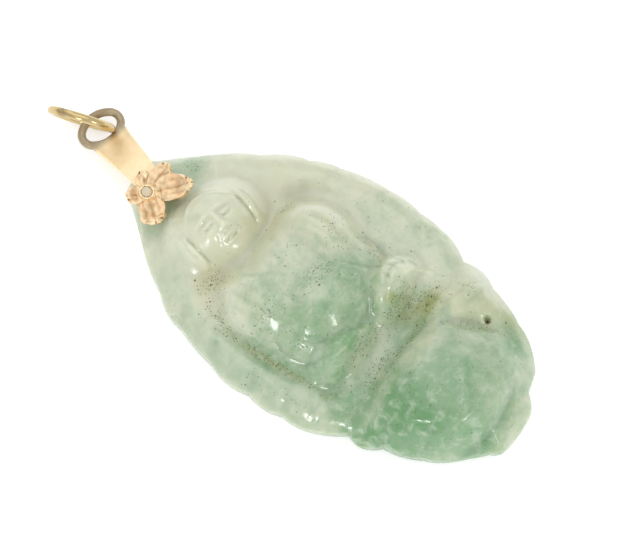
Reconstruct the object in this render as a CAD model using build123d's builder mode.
from build123d import *
import math
import os

os.makedirs("parts", exist_ok=True)

# Jade plaque, millimetres. The origin is the middle of its flat back, the carved face is up.
jade_length = 42.0
jade_width = 23.4
edge_height = 1.35
border_height = 2.9
relief_height = 7.0
back_bevel_height = 0.5
back_bevel_inset = 0.45
rim_roll = 2.3
form_roll = 3.2
form_blend = 0.42
form_reach = 1.6
end_crown = 0.25
scallop_steps = 4
grid_columns = 32

# Bail, with its post through the stone
post_x = -1.05
post_from_end = 3.1
post_diameter = 0.9
bail_lean = 16.6
strap_thickness = 0.45
strap_root_width = 2.0
strap_end_width = 3.7
strap_root = -1.0
leg_width = 1.2
leg_thickness = 0.45
seat_gap = 0.08
loop_center = 8.6
loop_height = 1.45
loop_wire = 0.76
loop_hole_width = 3.2
loop_hole_height = 2.0
loop_corner_share = 0.74

# Flower on the front of the bail and the stone in its middle
flower_x = -1.0
flower_y = 0.37
petal_thickness = 0.55
petal_cup_depth = 0.24
petal_cup_share = 0.7
petal_root_radius = 0.7
petal_tip_radius = 0.12
stone_diameter = 1.0
stone_table_share = 0.6
stone_crown = 0.2
stone_girdle = 0.08
stone_pavilion = 0.38
stone_facets = 8
stone_culet_share = 0.1
stone_gap = 0.04
collet_wall = 0.17

# Jump ring, standing on its edge through the loop. It crosses the loop's hole at a place
# given in shares of the hole's width and height from its middle
ring_diameter = 6.42
ring_wire = 0.78
ring_lift = 0.04
ring_cross_x = 0.1375
ring_cross_y = -0.13
ring_heading = 17.3
ring_lean = 15.4

half_length = jade_length / 2
half_width = jade_width / 2
form_rise = relief_height - border_height
post_y = half_length - post_from_end

# Scallops of the outline from the top to the bottom, one row for each notch:
# height of the notch as a share of the half length, its distance from the middle as a share
# of the half width, and how far the edge bulges on the way to the next notch, as a share too
LEFT_SCALLOPS = [
    (0.980, 0.190, -0.008),
    (0.780, 0.483, 0.014),
    (0.610, 0.690, 0.036),
    (0.440, 0.840, 0.012),
    (0.240, 0.940, 0.036),
    (0.030, 0.972, 0.028),
    (-0.140, 0.963, 0.015),
    (-0.270, 0.945, 0.014),
    (-0.420, 0.795, 0.055),
    (-0.570, 0.728, 0.022),
    (-0.740, 0.628, 0.030),
    (-0.895, 0.412, 0.004),
    (-0.955, 0.300, 0.012),
    (-0.995, 0.240, 0.0),
]
RIGHT_SCALLOPS = [
    (0.985, 0.108, 0.004),
    (0.760, 0.480, 0.016),
    (0.610, 0.648, 0.036),
    (0.420, 0.835, 0.012),
    (0.260, 0.935, 0.020),
    (0.060, 0.985, 0.022),
    (-0.110, 0.972, 0.008),
    (-0.220, 0.963, 0.030),
    (-0.390, 0.822, 0.060),
    (-0.560, 0.775, 0.026),
    (-0.740, 0.655, 0.042),
    (-0.910, 0.430, 0.004),
    (-0.940, 0.250, 0.012),
    (-0.995, 0.150, 0.0),
]

# Raised forms of the carving, one row each: middle across and along, half size across and
# along, rise as a share of the relief, turn in degrees, bow of its middle line as a share of
# the half length, squareness of its plan and fullness of its dome. What lies across is a share
# of the half width, and what lies along is one of the half length
FORMS = [
    ("head", -0.065, 0.568, 0.435, 0.185, 0.74, -11, 0.0, 2.2, 2.2),
    ("torso", -0.065, 0.080, 0.575, 0.300, 0.74, 0, 0.0, 3.2, 3.2),
    ("left_shoulder", -0.35, 0.190, 0.28, 0.210, 0.74, 6, 0.0, 2.3, 2.2),
    ("right_shoulder", 0.33, 0.175, 0.27, 0.210, 0.90, -4, 0.0, 2.2, 2.2),
    ("belly", -0.08, -0.015, 0.48, 0.220, 0.992, 0, 0.0, 2.2, 2.2),
    ("left_knee", -0.32, -0.185, 0.33, 0.100, 0.70, -5, -0.015, 2.3, 2.2),
    ("right_knee", 0.30, -0.192, 0.31, 0.105, 0.76, 7, -0.025, 2.3, 2.2),
    ("lotus", -0.15, -0.665, 0.64, 0.265, 0.78, 0, 0.0, 2.7, 2.6),
    ("side_leaf", 0.53, -0.530, 0.32, 0.150, 0.34, -30, 0.0, 2.2, 2.0),
]

# Hollows cut into the carving, one row each, with the same columns up to the bow, where the
# rise is a depth as a share of the relief
HOLLOWS = [
    ("left_groove", -0.675, 0.080, 0.075, 0.34, 0.22, 2, 0.0),
    ("lap_hollow", -0.02, -0.345, 0.60, 0.070, 0.24, 0, -0.020),
    ("leaf_groove", 0.41, -0.590, 0.07, 0.150, 0.16, 28, 0.0),
]

# Petals of the flower, one row each: bearing in degrees from the strap's right side, reach,
# half width and upward tilt in degrees
PETALS = [
    ("left", 153, 1.85, 0.80, 16),
    ("strap", 62, 2.05, 0.75, 8),
    ("upper_right", 15, 3.20, 0.85, 12),
    ("lower_right", -28, 4.10, 1.22, 14),
    ("lower_left", -112, 3.10, 1.15, 14),
]


def scallop_points(rows, side):
    """Points along one side of the outline, each scallop a bulge between two notches."""
    points = []
    for (y0, x0, bulge), (y1, x1, _) in zip(rows, rows[1:]):
        for step in range(scallop_steps):
            part = step / scallop_steps
            crest = 4 * bulge * part * (1 - part)
            x = x0 + (x1 - x0) * part + crest
            y = y0 + (y1 - y0) * part
            points.append((side * x * half_width, y * half_length))
    points.append((side * rows[-1][1] * half_width, rows[-1][0] * half_length))
    return points


def outline_half_width(y, side):
    """Distance of the outline from the middle line at one height and side, notches left out."""
    rows = LEFT_SCALLOPS if side < 0 else RIGHT_SCALLOPS
    share = y / half_length
    if share >= rows[0][0]:
        return rows[0][1] * half_width
    for (y0, x0, bulge), (y1, x1, _) in zip(rows, rows[1:]):
        if share >= y1:
            part = (y0 - share) / (y0 - y1)
            return (x0 + (x1 - x0) * part + bulge) * half_width
    return rows[-1][1] * half_width


def edge_distance(x, y):
    """Rough distance inward from the outline, negative outside it."""
    side = -1 if x < 0 else 1
    across = outline_half_width(y, side) - abs(x)
    ahead = outline_half_width(y + rim_roll / 2, side)
    behind = outline_half_width(y - rim_roll / 2, side)
    slope = (ahead - behind) / rim_roll
    return min(across / math.hypot(1, slope), half_length - abs(y))


def rolled(distance, width):
    """Rises from 0 at the edge to 1 at a width from it, along a parabola."""
    part = max(min(distance / width, 1.0), -0.6)
    return 1 - (1 - part) ** 2


def plan_distance(x, y, row, squareness):
    """Distance from the middle of a form in its own half sizes, 1 on its boundary."""
    _, mid_x, mid_y, half_x, half_y, _, turn, bow = row[:8]
    turned = math.radians(turn)
    dx = x - mid_x * half_width
    dy = y - mid_y * half_length
    along = (dx * math.cos(turned) + dy * math.sin(turned)) / (half_x * half_width)
    across = dy * math.cos(turned) - dx * math.sin(turned) - bow * half_length * along ** 2
    across = across / (half_y * half_length)
    return (abs(along) ** squareness + abs(across) ** squareness) ** (1 / squareness)


def relief(x, y):
    """Height of the carved face over the back."""
    distance = edge_distance(x, y)
    total = 1.0
    for row in FORMS:
        span = plan_distance(x, y, row, row[8])
        rise = row[5] * form_rise * (1 - min(span, form_reach) ** row[9])
        total += math.exp(rise / form_blend)
    raised = form_blend * math.log(total) * max(rolled(distance, form_roll), 0)
    cut = 0.0
    for row in HOLLOWS:
        span = plan_distance(x, y, row, 2)
        cut += row[5] * form_rise * (1 - min(span, 1) ** 2) ** 2
    border = edge_height + (border_height - edge_height) * rolled(distance, rim_roll)
    return border + raised - cut * max(rolled(distance, rim_roll), 0)


def grid_rows():
    """Rows of points on the carved face, each from the left edge to the right edge."""
    lefts = scallop_points(LEFT_SCALLOPS, -1)
    rights = scallop_points(RIGHT_SCALLOPS, 1)
    rows = []
    for i, (left, right) in enumerate(zip(lefts, rights)):
        crown = {0: end_crown, len(lefts) - 1: -end_crown}.get(i, 0.0)
        row = []
        for j in range(grid_columns + 1):
            along = 2 * j / grid_columns - 1
            part = (1 + along * (1.25 - 0.25 * along ** 2)) / 2
            x = left[0] + (right[0] - left[0]) * part
            y = left[1] + (right[1] - left[1]) * part + crown * (1 - along ** 2)
            row.append((x, y, relief(x, y)))
        rows.append(row)
    return rows


def rim_points(rows):
    """Outline of the grid, once round."""
    left_up = [row[0] for row in rows[:0:-1]]
    right_down = [row[-1] for row in rows[:-1]]
    return left_up + rows[0][:-1] + right_down + rows[-1][:0:-1]


def at_level(point, height, scale):
    """A point of the outline drawn in by a scale and put at a height."""
    return (point[0] * scale, point[1] * scale, height)


def plaque_faces():
    """Faces of the plaque: carved face, edge, bevel round the back and the flat back."""
    rows = grid_rows()
    faces = []
    for upper, lower in zip(rows, rows[1:]):
        for a, b, c, d in zip(upper, upper[1:], lower[1:], lower):
            faces.append((a, d, c))
            faces.append((a, c, b))
    rim = rim_points(rows)
    inset = 1 - back_bevel_inset / half_width
    for p, q in zip(rim, rim[1:] + rim[:1]):
        low = [at_level(point, back_bevel_height, 1) for point in (p, q)]
        back = [at_level(point, 0, inset) for point in (p, q)]
        faces.append((p, q, low[1], low[0]))
        faces.append((low[0], low[1], back[1], back[0]))
    faces.append([at_level(point, 0, inset) for point in rim])
    return [Face(Wire.make_polygon(corners, close=True)) for corners in faces]


# Places of the bail on the plaque
bail_plane = Plane(
    origin=(post_x, post_y, 0),
    x_dir=(math.cos(math.radians(bail_lean)), -math.sin(math.radians(bail_lean)), 0),
    z_dir=(0, 0, 1),
)
side_plane = Plane(origin=bail_plane.origin, x_dir=bail_plane.y_dir, z_dir=bail_plane.x_dir)
seat_height = border_height + seat_gap
strap_bend = (half_length - post_y) / math.cos(math.radians(bail_lean)) + seat_gap
leg_start = -leg_width / 2
hole_diameter = post_diameter + 2 * seat_gap
slot_depth = leg_thickness + 2 * seat_gap
leg_bottom = seat_gap

# Carved jade plaque
with BuildPart() as jade_carving:
    add(Solid(Shell(plaque_faces())))
    with BuildSketch(bail_plane):
        Circle(hole_diameter / 2)
    extrude(amount=relief_height, mode=Mode.SUBTRACT)
    with BuildSketch(bail_plane):
        with Locations((0, leg_start - seat_gap)):
            Rectangle(leg_width + 2 * seat_gap, jade_length, align=(Align.CENTER, Align.MIN))
    extrude(amount=slot_depth, mode=Mode.SUBTRACT)
jade_carving.part.label = "jade_carving"
export_step(jade_carving.part, "parts/jade_carving.step")

# Bail: strap in side view, cut to its plan, then the leg, the post, the loop and the flower
strap_end = loop_center - loop_hole_height / 2 - loop_wire / 2
loop_half_width = (loop_hole_width + loop_wire) / 2
loop_half_height = (loop_hole_height + loop_wire) / 2
strap_low = seat_height
strap_top = strap_low + strap_thickness
flower_height = strap_top
end_bottom = loop_height - strap_thickness / 2
end_top = loop_height + strap_thickness / 2


flower_plane = Plane(
    origin=bail_plane.from_local_coords(Vector(flower_x, flower_y, flower_height)),
    x_dir=bail_plane.x_dir,
    z_dir=bail_plane.z_dir,
)
collet_height = petal_thickness + stone_pavilion


def petal_plane(bearing, tilt):
    """Plane of a petal, its X axis along the petal and tilted up."""
    turned = math.radians(bearing)
    raised = math.radians(tilt)
    out = bail_plane.x_dir * math.cos(turned) + bail_plane.y_dir * math.sin(turned)
    return Plane(
        origin=flower_plane.origin,
        x_dir=out * math.cos(raised) + Vector(0, 0, math.sin(raised)),
        z_dir=Vector(0, 0, math.cos(raised)) - out * math.sin(raised),
    )


def loop_arcs():
    """Centre, radius, start and sweep of the four arcs of the loop's oval."""
    corner = loop_half_height * loop_corner_share
    reach = loop_half_width - corner
    drop = loop_half_height - corner
    back = (reach ** 2 - drop ** 2) / (2 * drop)
    turn = math.degrees(math.atan2(reach, back))
    return [
        ((reach, loop_center), corner, turn - 90, 180 - 2 * turn),
        ((0, loop_center - back), loop_half_height + back, 90 - turn, 2 * turn),
        ((-reach, loop_center), corner, 90 + turn, 180 - 2 * turn),
        ((0, loop_center + back), loop_half_height + back, 270 - turn, 2 * turn),
    ]


with BuildPart() as bail:
    with BuildSketch(side_plane):
        with BuildLine():
            Polyline(
                (strap_root, strap_low),
                (strap_bend, strap_low),
                (strap_end, end_bottom),
                (strap_end, end_top),
                (strap_bend, strap_top),
                (strap_root, strap_top),
                close=True,
            )
        make_face()
    extrude(amount=strap_end_width, both=True)
    with BuildSketch(bail_plane):
        with BuildLine():
            Polyline(
                (-strap_root_width / 2, strap_root),
                (-strap_end_width / 2, strap_end),
                (strap_end_width / 2, strap_end),
                (strap_root_width / 2, strap_root),
                close=True,
            )
        make_face()
    extrude(amount=relief_height, mode=Mode.INTERSECT)
    with BuildSketch(side_plane):
        with BuildLine():
            Polyline(
                (leg_start, leg_bottom),
                (strap_bend, leg_bottom),
                (strap_end, end_bottom),
                (strap_end, end_top),
                (strap_bend, leg_bottom + leg_thickness),
                (leg_start, leg_bottom + leg_thickness),
                close=True,
            )
        make_face()
    extrude(amount=leg_width / 2, both=True)
    with BuildSketch(bail_plane.offset(leg_bottom)):
        Circle(post_diameter / 2)
    extrude(amount=strap_low - leg_bottom)
    with BuildLine(bail_plane.offset(loop_height)) as loop_line:
        for middle, radius, start, turn in loop_arcs():
            CenterArc(middle, radius, start, turn)
    with BuildSketch(Plane(loop_line.line @ 0, z_dir=loop_line.line % 0)):
        Circle(loop_wire / 2)
    sweep(path=loop_line.wire())
    for _, bearing, reach, half_wide, tilt in PETALS:
        with BuildSketch(petal_plane(bearing, tilt)):
            with BuildLine():
                CenterArc((0, 0), petal_root_radius, 0, 360)
                CenterArc((reach - half_wide, 0), half_wide, 0, 360)
                CenterArc((reach - petal_tip_radius, 0), petal_tip_radius, 0, 360)
            make_hull()
        extrude(amount=petal_thickness)
    for _, bearing, reach, half_wide, tilt in PETALS:
        ball = (half_wide ** 2 + petal_cup_depth ** 2) / (2 * petal_cup_depth) * petal_cup_share
        cup = petal_plane(bearing, tilt).offset(petal_thickness + ball - petal_cup_depth)
        with Locations(cup.from_local_coords(Vector(reach - half_wide, 0, 0))):
            Sphere(ball, mode=Mode.SUBTRACT)
    with BuildSketch(flower_plane):
        Circle(stone_diameter / 2 + stone_gap + collet_wall)
    extrude(amount=collet_height)
    with BuildSketch(flower_plane.offset(collet_height - stone_pavilion - stone_gap)):
        Circle(stone_diameter / 2 + stone_gap)
    extrude(amount=relief_height, mode=Mode.SUBTRACT)
bail.part.label = "bail"
export_step(bail.part, "parts/bail.step")

# Flower stone: a round cut stone with a table, eight crown facets and eight below
stone_plane = flower_plane.offset(collet_height)
stone_radius = stone_diameter / 2
stone_levels = [
    (-stone_pavilion, stone_radius * stone_culet_share),
    (-stone_girdle / 2, stone_radius),
    (stone_girdle / 2, stone_radius),
    (stone_girdle / 2 + stone_crown, stone_radius * stone_table_share),
]
with BuildPart() as flower_stone:
    for (low, low_radius), (high, high_radius) in zip(stone_levels, stone_levels[1:]):
        with BuildSketch(stone_plane.offset(low)):
            RegularPolygon(low_radius, stone_facets)
        with BuildSketch(stone_plane.offset(high)):
            RegularPolygon(high_radius, stone_facets)
        loft(ruled=True)
flower_stone.part.label = "flower_stone"
export_step(flower_stone.part, "parts/flower_stone.step")

# Jump ring, crossing the loop's hole and standing on the surface beside the plaque
ring_radius = (ring_diameter - ring_wire) / 2
lean = math.radians(ring_lean)
heading = math.radians(ring_heading)
ring_along = Vector(-math.sin(heading), math.cos(heading), 0)
ring_up = Vector(-math.cos(heading), -math.sin(heading), 0) * math.sin(lean) + Vector(0, 0, math.cos(lean))
ring_center_height = ring_lift + ring_wire / 2 + ring_radius * math.cos(lean)
climb = (ring_center_height - loop_height) / math.cos(lean)
crossing = bail_plane.from_local_coords(
    Vector(ring_cross_x * loop_hole_width, loop_center + ring_cross_y * loop_hole_height, loop_height)
)
ring_center = crossing + ring_along * math.sqrt(ring_radius ** 2 - climb ** 2) + ring_up * climb
ring_plane = Plane(origin=ring_center, x_dir=ring_along, z_dir=ring_along.cross(ring_up))
with BuildPart(ring_plane) as jump_ring:
    Torus(ring_radius, ring_wire / 2)
jump_ring.part.label = "jump_ring"
export_step(jump_ring.part, "parts/jump_ring.step")
